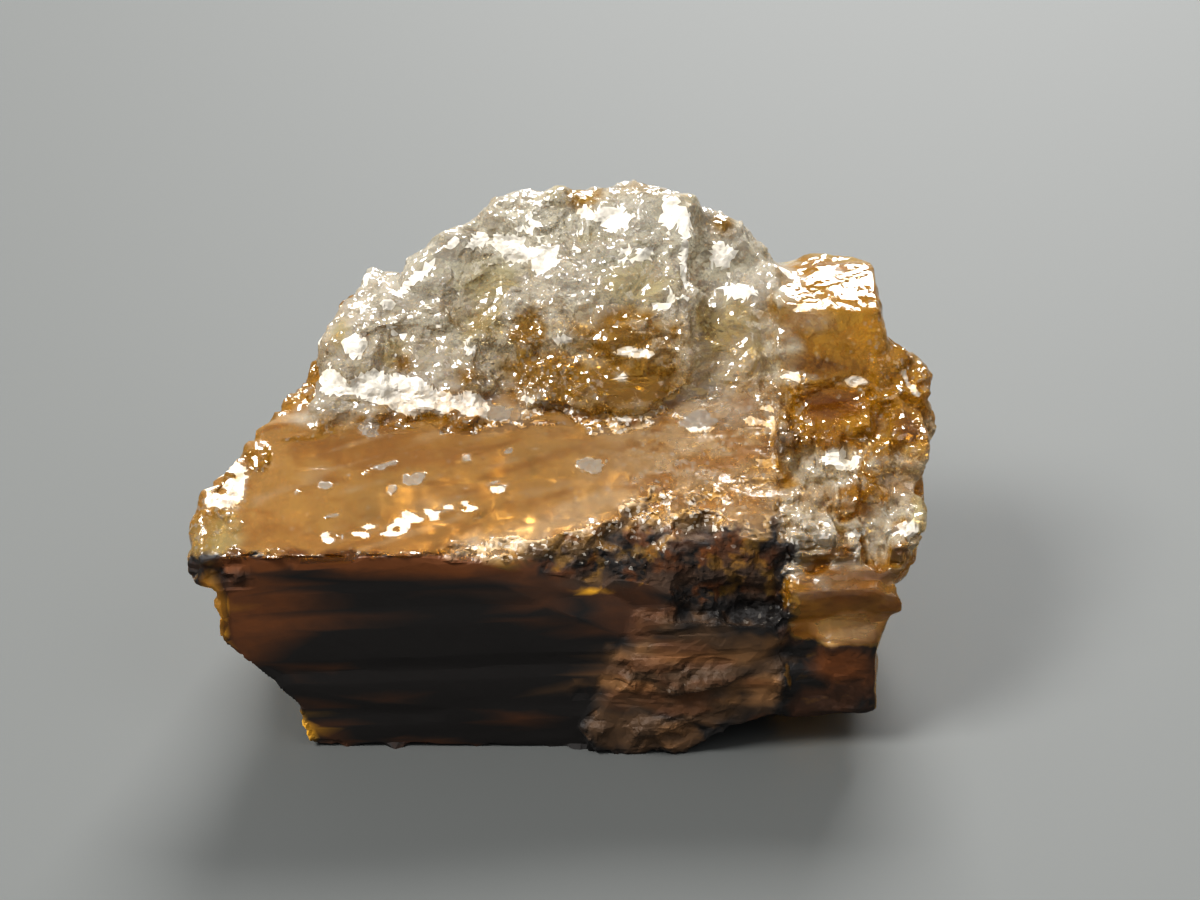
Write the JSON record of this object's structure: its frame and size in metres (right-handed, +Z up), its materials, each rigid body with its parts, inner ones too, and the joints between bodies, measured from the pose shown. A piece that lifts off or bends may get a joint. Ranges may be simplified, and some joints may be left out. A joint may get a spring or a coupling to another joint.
{
  "type": "natural herderite crystal",
  "caption": "Broken natural herderite crystal, gemmy honey brown: a prism with a smooth top face under a clear glassy crest, resting on a flat patch.",
  "frame": {"origin": "centre of the crystal's bounding box, on the surface that it rests on", "axes": "+X along the prism's length, towards the stepped broken end; -Y is the side of the smooth front face; +Z up"},
  "size_m": [0.0312, 0.0172, 0.0196],
  "materials": {
    "crystal": "natural crystal, clear to cloudy honey brown, glassy breaks"
  },
  "bodies": {
    "root": {"herderite_crystal": "crystal"}
  },
  "joints": []
}
